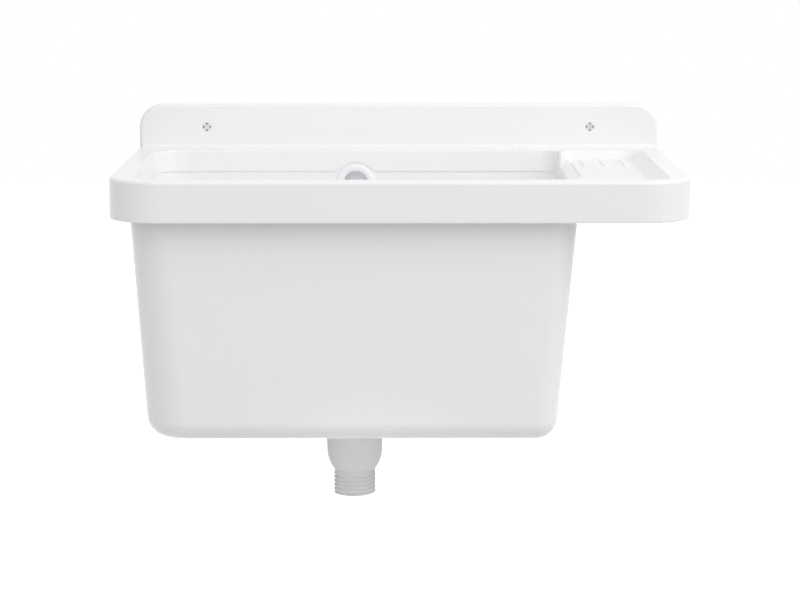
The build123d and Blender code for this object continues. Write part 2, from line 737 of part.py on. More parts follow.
with BuildPart() as waste_body:
    with BuildSketch(drain_profile) as body_profile:
        with BuildLine() as body_outline:
            Polyline(
                (0, body_top_z),
                (body_flange_diameter / 2, body_top_z),
                (body_flange_diameter / 2, flange_foot_z),
                (cup_diameter / 2, flange_foot_z),
                (cup_foot_diameter / 2, cup_foot_z),
            )
            ThreePointArc(
                (cup_foot_diameter / 2, cup_foot_z),
                (shoulder_middle_diameter / 2, (cup_foot_z + shoulder_z) / 2),
                (shoulder_diameter / 2, shoulder_z),
            )
            Polyline(
                (shoulder_diameter / 2, shoulder_z),
                (neck_groove_diameter / 2, shoulder_z),
                (neck_groove_diameter / 2, groove_z),
                (collar_diameter / 2, groove_z),
                (collar_diameter / 2, neck_z),
                (0, neck_z),
                (0, body_top_z),
            )
        make_face()
    revolve(axis=drain_axis)
    with BuildSketch(inlet_plane) as inlet_stub:
        Circle(stub_radius)
    extrude(amount=inlet_reach)
    add(waste_tail.part)
    # The passage: cup, funnel and tail bore
    with BuildSketch(drain_profile) as passage_profile:
        with BuildLine() as passage_outline:
            Polyline(
                (0, body_top_z),
                (cup_bore / 2, body_top_z),
                (cup_bore / 2, cup_foot_z),
                (tail_bore / 2, cup_foot_z - funnel_depth),
                (tail_bore / 2, tail_foot_z),
                (0, tail_foot_z),
                close=True,
            )
        make_face()
    revolve(axis=drain_axis, mode=Mode.SUBTRACT)
    with BuildSketch(inlet_plane) as inlet_bore:
        Circle(hose_stop_bore / 2)
    extrude(amount=inlet_reach, mode=Mode.SUBTRACT)
    with BuildSketch(inlet_plane.offset(inlet_reach)) as inlet_hose_socket:
        Circle(hose_cuff_diameter / 2 + hose_clearance)
    extrude(amount=-hose_stop_depth, mode=Mode.SUBTRACT)
    # Hub on four webs, clear of the inlet's stream
    with BuildSketch(Plane.XY.offset(hub_top_z)) as hub:
        with Locations((drain_x, drain_y)):
            Circle(hub_diameter / 2)
            Rectangle(cup_bore + web_thickness / 2, web_thickness, rotation=45)
            Rectangle(cup_bore + web_thickness / 2, web_thickness, rotation=-45)
    extrude(amount=-hub_depth)
    with BuildSketch(Plane.XY.offset(hub_top_z)) as insert_hole:
        with Locations((drain_x, drain_y)):
            Circle(insert_diameter / 2 + plain_fit)
    extrude(amount=-insert_length, mode=Mode.SUBTRACT)
waste_body.part.label = "waste_body"

# Brass insert in the hub, for the screw that pulls dish and body together
with BuildPart() as waste_insert:
    with BuildSketch(Plane.XY.offset(hub_top_z)) as insert_ring:
        with Locations((drain_x, drain_y)):
            Circle(insert_diameter / 2)
            Circle(waste_screw_diameter / 2 + plain_fit, mode=Mode.SUBTRACT)
    extrude(amount=-insert_length)
waste_insert.part.label = "waste_insert"

# Strainer dish of sheet steel
dish_mouth_z = dish_seat_z + dish_thickness
cone_foot_radius = dish_foot_diameter / 2
cone_mouth_radius = dish_mouth_diameter / 2
with BuildPart() as strainer_dish:
    with BuildSketch(drain_profile) as dish_profile:
        with BuildLine() as dish_outline:
            Polyline(
                (0, dish_foot_z),
                (cone_foot_radius, dish_foot_z),
                (cone_mouth_radius, dish_mouth_z),
                (dish_diameter / 2, dish_mouth_z),
                (dish_diameter / 2, dish_seat_z),
                (cone_mouth_radius + dish_thickness, dish_seat_z),
                (cone_foot_radius + dish_thickness, dish_foot_z - dish_thickness),
                (0, dish_foot_z - dish_thickness),
                close=True,
            )
        make_face()
    revolve(axis=drain_axis)
    with BuildSketch(Plane.XY.offset(dish_foot_z)) as dish_holes:
        with Locations((drain_x, drain_y)):
            Circle(waste_screw_diameter / 2 + plug_clearance)
            with PolarLocations(dish_hole_circle / 2, dish_hole_count):
                Circle(dish_hole_diameter / 2)
    extrude(amount=-2 * dish_thickness, mode=Mode.SUBTRACT)
strainer_dish.part.label = "strainer_dish"

# Waste screw with a slotted pan head
with BuildPart() as waste_screw:
    with BuildSketch(Plane.XY.offset(dish_foot_z)) as waste_screw_head:
        with Locations((drain_x, drain_y)):
            Circle(waste_screw_head_diameter / 2)
    extrude(amount=waste_screw_head_height)
    fillet(waste_screw.faces().sort_by(Axis.Z)[-1].edges(), waste_screw_head_height / 2)
    with BuildSketch(Plane.XY.offset(dish_foot_z)) as waste_screw_shank:
        with Locations((drain_x, drain_y)):
            Circle(waste_screw_diameter / 2)
    extrude(amount=-waste_screw_length)
    chamfer(waste_screw.faces().sort_by(Axis.Z)[0].edges(), waste_screw_diameter / 10)
    with BuildSketch(Plane.XY.offset(dish_foot_z + waste_screw_head_height)) as waste_screw_slot:
        with Locations((drain_x, drain_y)):
            Rectangle(waste_screw_head_diameter, waste_screw_slot_width)
    extrude(amount=-waste_screw_head_height / 2, mode=Mode.SUBTRACT)
waste_screw.part.label = "waste_screw"

# Loose rubber plug that rests in the dish
plug_seat_z = dish_mouth_z + plug_clearance
plug_foot_z = plug_seat_z - plug_body_depth
plug_top_z = plug_seat_z + plug_flange_thickness
cone_slope = (cone_mouth_radius - cone_foot_radius) / (dish_mouth_z - dish_foot_z)
plug_mouth_radius = cone_mouth_radius - plug_clearance
plug_foot_radius = plug_mouth_radius - cone_slope * plug_body_depth
with BuildPart() as drain_plug:
    with BuildSketch(drain_profile) as plug_profile:
        with BuildLine() as plug_outline:
            Polyline(
                (0, plug_top_z + plug_knob_height),
                (plug_knob_diameter / 2, plug_top_z + plug_knob_height),
                (plug_knob_diameter / 2, plug_top_z + plug_knob_height / 2),
                (plug_neck_diameter / 2, plug_top_z + plug_knob_height / 3),
                (plug_neck_diameter / 2, plug_top_z),
                (plug_flange_diameter / 2, plug_top_z),
                (plug_flange_diameter / 2, plug_seat_z),
                (plug_mouth_radius, plug_seat_z),
                (plug_foot_radius, plug_foot_z),
                (plug_hollow_diameter / 2, plug_foot_z),
                (plug_hollow_diameter / 2, plug_foot_z + plug_hollow_depth),
                (0, plug_foot_z + plug_hollow_depth),
                close=True,
            )
        make_face()
    revolve(axis=drain_axis)
    knob_top = drain_plug.faces().sort_by(Axis.Z)[-1].edges()
    fillet(knob_top, plug_knob_height / 4)
drain_plug.part.label = "drain_plug"

pieces = (
    basin,
    wall_screws,
    wall_plugs,
    overflow_ring,
    overflow_gasket,
    overflow_elbow,
    upper_hose_nut,
    upper_hose_seal,
    overflow_hose,
    lower_hose_nut,
    lower_hose_seal,
    dish_gasket,
    body_gasket,
    waste_body,
    waste_insert,
    strainer_dish,
    waste_screw,
    drain_plug,
)
for piece in pieces:
    print(piece.part.label, len(piece.solids()), round(piece.part.volume, 1), piece.part.is_valid)
    export_step(piece.part, "parts/" + piece.part.label + ".step")
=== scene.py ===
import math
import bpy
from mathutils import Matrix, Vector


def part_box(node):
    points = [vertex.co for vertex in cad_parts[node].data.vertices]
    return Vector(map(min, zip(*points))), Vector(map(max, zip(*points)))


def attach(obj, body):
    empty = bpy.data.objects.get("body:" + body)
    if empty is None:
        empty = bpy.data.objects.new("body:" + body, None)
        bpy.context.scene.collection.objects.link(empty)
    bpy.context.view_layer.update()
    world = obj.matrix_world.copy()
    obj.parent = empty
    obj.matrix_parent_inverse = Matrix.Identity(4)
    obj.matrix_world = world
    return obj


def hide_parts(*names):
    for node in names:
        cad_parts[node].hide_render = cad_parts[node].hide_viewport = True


bl_info = {
    "name": "Wall-hung Utility Basin",
    "version": (1, 0, 0),
    "blender": (4, 5, 0),
    "location": "View3D > Sidebar > Basin",
    "description": "A plastic utility basin with its fixing, overflow and waste, and a white studio",
    "category": "Add Mesh",
}

import bmesh
import bpy
from bpy.props import FloatProperty, FloatVectorProperty, IntProperty, PointerProperty
from mathutils import Matrix, Vector

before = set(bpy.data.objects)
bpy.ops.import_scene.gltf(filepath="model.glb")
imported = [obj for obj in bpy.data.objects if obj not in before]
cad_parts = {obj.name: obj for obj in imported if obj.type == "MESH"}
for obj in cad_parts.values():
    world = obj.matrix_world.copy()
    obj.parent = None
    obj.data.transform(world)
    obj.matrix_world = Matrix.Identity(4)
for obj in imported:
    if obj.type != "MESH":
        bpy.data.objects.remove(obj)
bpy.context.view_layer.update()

SINK = "sink"
PLUG = "plug"
UP = Vector((0, 0, 1))
TO_WALL = Vector((0, 1, 0))
FULL_TURN = 2 * math.pi
SAME_POINT = 0.000001
FLAT_ANGLE = math.radians(0.4)
CREASE_ANGLE = math.radians(32)

# Ranges of the wall screws' heads that are painted darker, in metres
HEAD_REACH = 0.222
HEAD_FACE = -0.00993
FIELD_START = 0.0014
FIELD_FULL = 0.0028

# Shape of a wall screw, as shares of its core's or its shank's radius
POINT_TIP = 0.3
POINT_LENGTH = 3.4
SHANK_SHARE = 0.94
TOOTH_ROOT = 0.9
RECESS_TAPER = 0.62

# Half the width of a thread's foot, as a share of its pitch
TOOTH_HALF_FOOT = 0.27

# The studio's floor and small lamps, in metres and degrees
FLOOR_HALF_WIDTH = 9
FLOOR_GLOW = 0.85
WASTE_LAMP_PLACE = Vector((0.1, -1.0, -0.42))
WASTE_LAMP_ANGLE = 8.5
WASTE_LAMP_SOFTNESS = 0.12
ELBOW_LAMP_DEPTH = 0.016
ELBOW_LAMP_SOFTNESS = 0.004
BOWL_LAMP_WIDTH = 0.4
BOWL_LAMP_HEIGHT = 0.12
BOWL_LAMP_PLACE = Vector((-0.03, -0.3, -0.16))
BOWL_LAMP_TARGET = Vector((-0.09, -0.06, -0.08))
LAMPS_TARGET = Vector((0, -0.2, -0.15))


# Settings


class BasinFinishes(bpy.types.PropertyGroup):
    """Colours and gloss of the basin and its fittings."""

    white: FloatVectorProperty(
        name="White plastic",
        description="Colour of the basin, the overflow ring and the elbow",
        subtype="COLOR",
        size=3,
        min=0,
        max=1,
        default=(0.94, 0.947, 0.965),
    )
    white_roughness: FloatProperty(
        name="White roughness",
        description="Mean roughness of the glossy white plastic",
        min=0,
        max=1,
        default=0.32,
    )
    grey: FloatVectorProperty(
        name="Grey plastic",
        description="Colour of the waste and the hose nuts",
        subtype="COLOR",
        size=3,
        min=0,
        max=1,
        default=(0.93, 0.935, 0.945),
    )
    hose: FloatVectorProperty(
        name="Hose plastic",
        description="Colour of the ribbed overflow hose",
        subtype="COLOR",
        size=3,
        min=0,
        max=1,
        default=(0.7, 0.705, 0.715),
    )
    rubber: FloatVectorProperty(
        name="Rubber",
        description="Colour of the plug, seals and gaskets",
        subtype="COLOR",
        size=3,
        min=0,
        max=1,
        default=(0.03, 0.03, 0.032),
    )
    steel: FloatVectorProperty(
        name="Steel",
        description="Colour of the strainer dish and the waste screw",
        subtype="COLOR",
        size=3,
        min=0,
        max=1,
        default=(0.68, 0.685, 0.69),
    )
    bright_steel: FloatVectorProperty(
        name="Bright steel",
        description="Colour of the wall screws",
        subtype="COLOR",
        size=3,
        min=0,
        max=1,
        default=(0.86, 0.865, 0.87),
    )
    # Colour painted on the wall screws' heads between the arms of their crosses, darker than the steel
    head_field_colour: FloatVectorProperty(
        name="Head field colour",
        description="Colour of the darker fields on the wall screws' heads",
        subtype="COLOR",
        size=3,
        min=0,
        max=1,
        default=(0.3, 0.305, 0.31),
    )
    brass: FloatVectorProperty(
        name="Brass",
        description="Colour of the threaded insert",
        subtype="COLOR",
        size=3,
        min=0,
        max=1,
        default=(0.68, 0.48, 0.2),
    )
    nylon: FloatVectorProperty(
        name="Nylon",
        description="Colour of the wall plugs",
        subtype="COLOR",
        size=3,
        min=0,
        max=1,
        default=(0.25, 0.255, 0.26),
    )
    edge_radius: FloatProperty(
        name="Edge radius",
        description="Radius that softens the moulding's sharp edges",
        unit="LENGTH",
        min=0,
        default=0.0005,
    )


class BasinFittings(bpy.types.PropertyGroup):
    """Sizes of the fittings that are modelled again here and can't be read from the solids."""

    wall_lean: FloatProperty(
        name="Wall lean",
        description="How far the bowl's back wall leans",
        unit="ROTATION",
        default=math.radians(4.2),
    )
    wall_depth: FloatProperty(
        name="Bowl skin",
        description="From the bowl's back wall to the middle of the overflow gasket",
        unit="LENGTH",
        default=0.00474,
    )
    sleeve_wall: FloatProperty(
        name="Sleeve wall",
        description="Wall of the sleeve behind the overflow ring",
        unit="LENGTH",
        default=0.002,
    )
    ring_round: FloatProperty(
        name="Ring rounding",
        description="Radius of the rounded edges of the overflow ring",
        unit="LENGTH",
        default=0.0029,
    )
    rubber_round: FloatProperty(
        name="Rubber rounding",
        description="Radius of the edges of gaskets and seals",
        unit="LENGTH",
        default=0.0003,
    )
    screw_radius: FloatProperty(
        name="Screw radius",
        description="Radius over the thread of a wall screw",
        unit="LENGTH",
        default=0.0025,
    )
    screw_core: FloatProperty(
        name="Screw core",
        description="Radius of a wall screw between its threads",
        unit="LENGTH",
        default=0.0017,
    )
    screw_pitch: FloatProperty(
        name="Screw pitch",
        description="Pitch of a wall screw's thread",
        unit="LENGTH",
        default=0.0022,
    )
    screw_plain: FloatProperty(
        name="Plain shank",
        description="Length of a wall screw before its thread starts, head included",
        unit="LENGTH",
        default=0.014,
    )
    cross_reach: FloatProperty(
        name="Cross reach",
        description="Half the length of the cross recess",
        unit="LENGTH",
        default=0.0026,
    )
    cross_width: FloatProperty(
        name="Cross width",
        description="Half the width of an arm of the cross recess",
        unit="LENGTH",
        default=0.0006,
    )
    cross_depth: FloatProperty(
        name="Cross depth",
        description="Depth of the cross recess",
        unit="LENGTH",
        default=0.0019,
    )
    plug_split: FloatProperty(
        name="Plug split",
        description="Length of the split at a wall plug's far end",
        unit="LENGTH",
        default=0.017,
    )
    plug_slit: FloatProperty(
        name="Plug slit",
        description="Width of the split in a wall plug",
        unit="LENGTH",
        default=0.0012,
    )
    plug_ribs: IntProperty(
        name="Plug ribs",
        description="Number of barbed rings on a wall plug",
        min=1,
        default=9,
    )
    plug_barb: FloatProperty(
        name="Plug barb",
        description="Height of a barbed ring on a wall plug",
        unit="LENGTH",
        default=0.0004,
    )
    hose_bend: FloatProperty(
        name="Hose bend",
        description="Radius of the hose's bend",
        unit="LENGTH",
        default=0.058,
    )
    hose_reach: FloatProperty(
        name="Hose reach",
        description="From the middle of a hose seal to the hose's end inside its stub",
        unit="LENGTH",
        default=0.01575,
    )
    hose_cuff: FloatProperty(
        name="Hose cuff",
        description="Length of the plain cuff at each end of the hose",
        unit="LENGTH",
        default=0.034,
    )
    hose_cuff_radius: FloatProperty(
        name="Cuff radius",
        description="Outside radius of the hose's cuffs",
        unit="LENGTH",
        default=0.0115,
    )
    hose_root_radius: FloatProperty(
        name="Root radius",
        description="Radius of the hose between its ribs",
        unit="LENGTH",
        default=0.0108,
    )
    hose_crest_radius: FloatProperty(
        name="Crest radius",
        description="Radius over the hose's ribs",
        unit="LENGTH",
        default=0.0125,
    )
    hose_bore_radius: FloatProperty(
        name="Hose bore",
        description="Radius of the hose's bore",
        unit="LENGTH",
        default=0.0093,
    )
    hose_pitch: FloatProperty(
        name="Rib pitch",
        description="Distance from rib to rib along the hose",
        unit="LENGTH",
        default=0.0045,
    )
    hose_ribs: IntProperty(
        name="Ribs",
        description="Number of ribs on the hose",
        min=1,
        default=59,
    )
    plug_round: FloatProperty(
        name="Plug rounding",
        description="Radius of the drain plug's soft edges",
        unit="LENGTH",
        default=0.0008,
    )


class BasinStudio(bpy.types.PropertyGroup):
    """Camera, floor and lamps."""

    lens: FloatProperty(
        name="Lens",
        description="Focal length in millimetres",
        min=1,
        default=115.2,
    )
    eye: FloatVectorProperty(
        name="Eye",
        description="Where the camera stands",
        subtype="TRANSLATION",
        unit="LENGTH",
        size=3,
        default=(-0.0127, -2.975, 0.2495),
    )
    pitch: FloatProperty(
        name="Pitch",
        description="How far the camera looks down",
        unit="ROTATION",
        default=math.radians(8.68),
    )
    yaw: FloatProperty(
        name="Yaw",
        description="How far the camera looks to the right",
        unit="ROTATION",
        default=math.radians(0.28),
    )
    floor_level: FloatProperty(
        name="Floor level",
        description="Height of the floor, with the basin hung at its usual height",
        unit="LENGTH",
        default=-1.0,
    )
    sky: FloatProperty(
        name="Room light",
        description="Strength of the even light from all round",
        min=0,
        default=0.6,
    )
    key: FloatProperty(
        name="Key lamp",
        description="Power of the large lamp above, to the right and in front",
        unit="POWER",
        min=0,
        default=13.5,
    )
    high: FloatProperty(
        name="High lamp",
        description="Power of the lamp high above the camera",
        unit="POWER",
        min=0,
        default=13.8,
    )
    right: FloatProperty(
        name="Right lamp",
        description="Power of the lamp above, to the right",
        unit="POWER",
        min=0,
        default=14.0,
    )
    front: FloatProperty(
        name="Front lamp",
        description="Power of the lamp behind the camera",
        unit="POWER",
        min=0,
        default=3.6,
    )
    left: FloatProperty(
        name="Left lamp",
        description="Power of the weak lamp in front, to the left",
        unit="POWER",
        min=0,
        default=1.5,
    )
    under: FloatProperty(
        name="Low lamp",
        description="Power of the lamp that lifts the underside",
        unit="POWER",
        min=0,
        default=1.2,
    )
    waste: FloatProperty(
        name="Waste lamp",
        description="Power of the narrow lamp on the waste, which hangs in the basin's shade",
        unit="POWER",
        min=0,
        default=17.0,
    )
    inside: FloatProperty(
        name="Elbow lamp",
        description="Power of the tiny lamp in the elbow, for the light that its thin wall lets in",
        unit="POWER",
        min=0,
        default=0.0028,
    )
    bowl: FloatProperty(
        name="Bowl lamp",
        description="Power of the soft lamp in the bowl, below the front rim, for the bowl's back wall",
        unit="POWER",
        min=0,
        default=0.08,
    )


# Shapes


def centre_of(node):
    """Middle of a CAD node's box."""
    low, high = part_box(node)
    return (low + high) / 2


def extent(node, origin, axis):
    """Lowest, highest, least radius and greatest radius of a CAD node about an axis."""
    spots = [vertex.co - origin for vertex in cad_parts[node].data.vertices]
    heights = [spot.dot(axis) for spot in spots]
    radii = [(spot - axis * height).length for spot, height in zip(spots, heights)]
    return min(heights), max(heights), min(radii), max(radii)


def overflow_frame(fittings):
    """The overflow's origin on the bowl's back wall, its axis into the bowl, and down the wall."""
    lean = fittings.wall_lean
    axis = Vector((0, -math.cos(lean), math.sin(lean)))
    down = Vector((0, -math.sin(lean), -math.cos(lean)))
    return centre_of("overflow_gasket") + axis * fittings.wall_depth, axis, down


def arc(radius, height, size, start, end, steps=6):
    """Points of an arc of a half outline, start and end in degrees."""
    points = []
    for step in range(steps + 1):
        angle = math.radians(start + (end - start) * step / steps)
        points.append((radius + size * math.cos(angle), height + size * math.sin(angle)))
    return points


def turned(outline, steps=96):
    """A shape turned about Z from its half outline, given as (radius, height) points."""
    shape = bmesh.new()
    points = [shape.verts.new((radius, 0, height)) for radius, height in outline]
    lines = [shape.edges.new(pair) for pair in zip(points, points[1:])]
    if outline[0][0] > 0:
        lines.append(shape.edges.new((points[-1], points[0])))
    bmesh.ops.spin(
        shape,
        geom=points + lines,
        cent=(0, 0, 0),
        axis=UP,
        dvec=(0, 0, 0),
        angle=FULL_TURN,
        steps=steps,
        use_merge=True,
    )
    bmesh.ops.remove_doubles(shape, verts=shape.verts, dist=SAME_POINT)
    bmesh.ops.recalc_face_normals(shape, faces=shape.faces)
    return shape


def soften(shape, radius, segments=2, angle=CREASE_ANGLE):
    """Rounds every edge that is sharper than angle."""
    edges = [
        edge
        for edge in shape.edges
        if edge.is_manifold and edge.calc_face_angle(0) > angle
    ]
    bmesh.ops.bevel(
        shape,
        geom=edges,
        offset=radius,
        offset_type="OFFSET",
        affect="EDGES",
        segments=segments,
        profile=0.5,
        material=-1,
        clamp_overlap=True,
        loop_slide=True,
    )
    bmesh.ops.remove_doubles(shape, verts=shape.verts, dist=SAME_POINT)
    return shape


def put(shape, origin, axis):
    """Moves a shape that was made about Z to origin, with Z along axis."""
    turn = axis.to_track_quat("Z", "Y").to_matrix().to_4x4()
    bmesh.ops.transform(shape, matrix=Matrix.Translation(origin) @ turn, verts=shape.verts)
    return shape


def solid_copy(node):
    """A copy of a CAD node's mesh with its points joined and its flat faces whole."""
    shape = bmesh.new()
    shape.from_mesh(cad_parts[node].data)
    bmesh.ops.remove_doubles(shape, verts=shape.verts, dist=SAME_POINT)
    bmesh.ops.dissolve_limit(
        shape,
        angle_limit=FLAT_ANGLE,
        verts=shape.verts,
        edges=shape.edges,
        delimit={"NORMAL"},
    )
    return shape


def joined(shapes):
    """One shape of several; the others are freed."""
    first, *others = shapes
    for other in others:
        mesh = bpy.data.meshes.new("joined")
        other.to_mesh(mesh)
        other.free()
        first.from_mesh(mesh)
        bpy.data.meshes.remove(mesh)
    return first


def ring_of(node, origin, axis, rounding):
    """A plain ring in the place of a CAD node, with rounded edges."""
    low, high, inner, outer = extent(node, origin, axis)
    shape = turned([(inner, low), (outer, low), (outer, high), (inner, high)])
    return put(soften(shape, rounding, 3), origin, axis)


def add_piece(shape, name, node, body, material):
    """Makes a finished piece of a shape: it replaces a CAD node and rides on its body."""
    mesh = bpy.data.meshes.new(name)
    shape.to_mesh(mesh)
    shape.free()
    mesh.materials.append(material)
    mesh.shade_smooth()
    mesh.set_sharp_from_angle(angle=CREASE_ANGLE)
    piece = bpy.data.objects.new(name, mesh)
    bpy.context.scene.collection.objects.link(piece)
    normals = piece.modifiers.new("even_normals", "WEIGHTED_NORMAL")
    normals.keep_sharp = True
    normals.weight = 80
    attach(piece, body)
    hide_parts(node)
    return piece


# Materials


def new_material(name):
    """An empty material, its shader and the object coordinates."""
    material = bpy.data.materials.new(name)
    material.use_nodes = True
    tree = material.node_tree
    shader = tree.nodes["Principled BSDF"]
    place = tree.nodes.new("ShaderNodeTexCoord").outputs["Object"]
    return material, tree, shader, place


def noise(tree, place, scale, detail=3.0, stretch=None):
    """Noise of a scale per metre, stretched by a factor on each axis."""
    if stretch:
        mapping = tree.nodes.new("ShaderNodeMapping")
        mapping.inputs["Scale"].default_value = stretch
        tree.links.new(place, mapping.inputs["Vector"])
        place = mapping.outputs["Vector"]
    texture = tree.nodes.new("ShaderNodeTexNoise")
    texture.inputs["Scale"].default_value = scale
    texture.inputs["Detail"].default_value = detail
    tree.links.new(place, texture.inputs["Vector"])
    return texture.outputs["Fac"]


def spread(tree, value, low, high):
    """Maps noise of about 0.3 to 0.7 to the range low to high."""
    scale = tree.nodes.new("ShaderNodeMapRange")
    scale.inputs["From Min"].default_value = 0.3
    scale.inputs["From Max"].default_value = 0.7
    scale.inputs["To Min"].default_value = low
    scale.inputs["To Max"].default_value = high
    tree.links.new(value, scale.inputs["Value"])
    return scale.outputs["Result"]


def tint(tree, value, colour, darker):
    """The colour, up to the share darker less bright where value is high."""
    mix = tree.nodes.new("ShaderNodeMix")
    mix.data_type = "RGBA"
    mix.inputs[6].default_value = (*colour, 1)
    mix.inputs[7].default_value = (*[part * (1 - darker) for part in colour], 1)
    tree.links.new(value, mix.inputs[0])
    return mix.outputs[2]


def bump(tree, value, distance, strength=1.0, under=None):
    """Bump of a depth in metres, on top of another bump."""
    node = tree.nodes.new("ShaderNodeBump")
    node.inputs["Distance"].default_value = distance
    node.inputs["Strength"].default_value = strength
    tree.links.new(value, node.inputs["Height"])
    if under:
        tree.links.new(under, node.inputs["Normal"])
    return node.outputs["Normal"]


def moulded(name, colour, roughness, grain, grain_depth, ripple_depth=0.0, change=0.02):
    """Moulded plastic: faint flow ripples, a fine grain and uneven gloss."""
    material, tree, shader, place = new_material(name)
    cloud = noise(tree, place, 9, 2)
    fine = noise(tree, place, grain, 2)
    tree.links.new(tint(tree, spread(tree, cloud, 0, 1), colour, change), shader.inputs["Base Color"])
    gloss = spread(tree, noise(tree, place, 38, 4), roughness - 0.04, roughness + 0.04)
    tree.links.new(gloss, shader.inputs["Roughness"])
    normal = bump(tree, cloud, ripple_depth) if ripple_depth else None
    tree.links.new(bump(tree, fine, grain_depth, 1.0, normal), shader.inputs["Normal"])
    shader.inputs["IOR"].default_value = 1.49
    shader.inputs["Specular IOR Level"].default_value = 0.35
    return material


def let_light_through(material, colour, share):
    """Makes a share of a material pass light on, as thin pale plastic does."""
    tree = material.node_tree
    out = tree.nodes["Material Output"]
    thin = tree.nodes.new("ShaderNodeBsdfTranslucent")
    thin.inputs["Color"].default_value = (*colour, 1)
    mix = tree.nodes.new("ShaderNodeMixShader")
    mix.inputs[0].default_value = share
    tree.links.new(tree.nodes["Principled BSDF"].outputs[0], mix.inputs[1])
    tree.links.new(thin.outputs[0], mix.inputs[2])
    tree.links.new(mix.outputs[0], out.inputs["Surface"])
    return material


def rubber(name, colour):
    """Dull rubber with a fine bloom."""
    material, tree, shader, place = new_material(name)
    bloom = spread(tree, noise(tree, place, 160, 5), 0, 1)
    mix = tree.nodes.new("ShaderNodeMix")
    mix.data_type = "RGBA"
    mix.inputs[6].default_value = (*colour, 1)
    mix.inputs[7].default_value = (*[part * 1.7 for part in colour], 1)
    tree.links.new(bloom, mix.inputs[0])
    tree.links.new(mix.outputs[2], shader.inputs["Base Color"])
    tree.links.new(spread(tree, noise(tree, place, 90, 3), 0.52, 0.72), shader.inputs["Roughness"])
    tree.links.new(bump(tree, noise(tree, place, 1900, 2), 0.00003), shader.inputs["Normal"])
    return material


def metal(name, colour, roughness, scratch_stretch, scratch_depth):
    """Metal with fine scratches along one direction and cloudy patches of duller plate."""
    material, tree, shader, place = new_material(name)
    shader.inputs["Metallic"].default_value = 1.0
    patches = spread(tree, noise(tree, place, 120, 4), 0, 1)
    tree.links.new(tint(tree, patches, colour, 0.14), shader.inputs["Base Color"])
    scratches = noise(tree, place, 900, 4, scratch_stretch)
    dull = spread(tree, scratches, roughness - 0.06, roughness + 0.08)
    tree.links.new(dull, shader.inputs["Roughness"])
    tree.links.new(bump(tree, scratches, scratch_depth), shader.inputs["Normal"])
    return material


def maths(tree, operation, first, second=0.0):
    """Output of a maths node; second is a socket or a number."""
    node = tree.nodes.new("ShaderNodeMath")
    node.operation = operation
    tree.links.new(first, node.inputs[0])
    if isinstance(second, float):
        node.inputs[1].default_value = second
    else:
        tree.links.new(second, node.inputs[1])
    return node.outputs[0]


def mark_heads(material, colour, reach, face):
    """Darkens the four fields between the arms of the cross on two screw heads.

    The heads stand at reach to the left and right, and what lies in front of face is marked.
    """
    tree = material.node_tree
    shader = tree.nodes["Principled BSDF"]
    parts = tree.nodes.new("ShaderNodeSeparateXYZ")
    tree.links.new(tree.nodes["Texture Coordinate"].outputs["Object"], parts.inputs[0])
    beside = maths(tree, "ABSOLUTE", parts.outputs["X"])
    across = maths(tree, "ABSOLUTE", maths(tree, "SUBTRACT", beside, reach))
    upright = maths(tree, "ABSOLUTE", parts.outputs["Z"])
    off_arm = maths(tree, "ABSOLUTE", maths(tree, "SUBTRACT", across, upright))
    field = tree.nodes.new("ShaderNodeMapRange")
    field.inputs["From Min"].default_value = FIELD_START
    field.inputs["From Max"].default_value = FIELD_FULL
    tree.links.new(off_arm, field.inputs["Value"])
    in_front = maths(tree, "LESS_THAN", parts.outputs["Y"], face)
    mix = tree.nodes.new("ShaderNodeMix")
    mix.data_type = "RGBA"
    tree.links.new(maths(tree, "MULTIPLY", field.outputs["Result"], in_front), mix.inputs[0])
    tree.links.new(shader.inputs["Base Color"].links[0].from_socket, mix.inputs[6])
    mix.inputs[7].default_value = (*colour, 1)
    tree.links.new(mix.outputs[2], shader.inputs["Base Color"])
    return material


def finishes(context):
    """The materials by slot, made once."""
    made = {}
    look = context.scene.basin_finishes
    for slot, maker in (
        ("white_plastic", lambda: moulded(
            "white_plastic", look.white, look.white_roughness, 1400, 0.000004, 0.00012, 0.012)),
        ("elbow_plastic", lambda: let_light_through(moulded(
            "elbow_plastic", look.white, 0.35, 1400, 0.000008, 0.0, 0.02), look.white, 0.2)),
        ("grey_plastic", lambda: moulded(
            "grey_plastic", look.grey, 0.42, 1500, 0.000012, 0.0, 0.05)),
        ("hose_plastic", lambda: moulded(
            "hose_plastic", look.hose, 0.38, 1300, 0.000008, 0.0, 0.06)),
        ("grey_plug", lambda: moulded(
            "grey_plug", look.nylon, 0.55, 1600, 0.00002, 0.0, 0.1)),
        ("black_rubber", lambda: rubber("black_rubber", look.rubber)),
        ("plug_rubber", lambda: rubber("plug_rubber", [part * 1.6 for part in look.rubber])),
        ("dish_steel", lambda: metal("dish_steel", look.steel, 0.24, (1, 0.06, 1), 0.000006)),
        ("screw_steel", lambda: metal("screw_steel", look.steel, 0.34, (1, 1, 0.2), 0.000008)),
        # The wall screws' steel, with darker fields painted between the arms of each cross
        ("wall_screw_steel", lambda: mark_heads(metal(
            "wall_screw_steel", look.bright_steel, 0.4, (1, 1, 0.2), 0.000008),
            look.head_field_colour, HEAD_REACH, HEAD_FACE)),
        ("brass", lambda: metal("brass", look.brass, 0.28, (1, 1, 0.1), 0.000006)),
    ):
        made[slot] = bpy.data.materials.get(slot) or maker()
    return made


# Pieces


class BASIN_OT_moulding(bpy.types.Operator):
    """The one-piece basin: bowl, soap tray, rim and back plate"""

    bl_idname = "basin.moulding"
    bl_label = "Basin moulding"

    def execute(self, context):
        shape = solid_copy("basin")
        soften(shape, context.scene.basin_finishes.edge_radius, 2)
        add_piece(
            shape, "basin_moulding", "basin", SINK,
            finishes(context)["white_plastic"],
        )
        return {"FINISHED"}


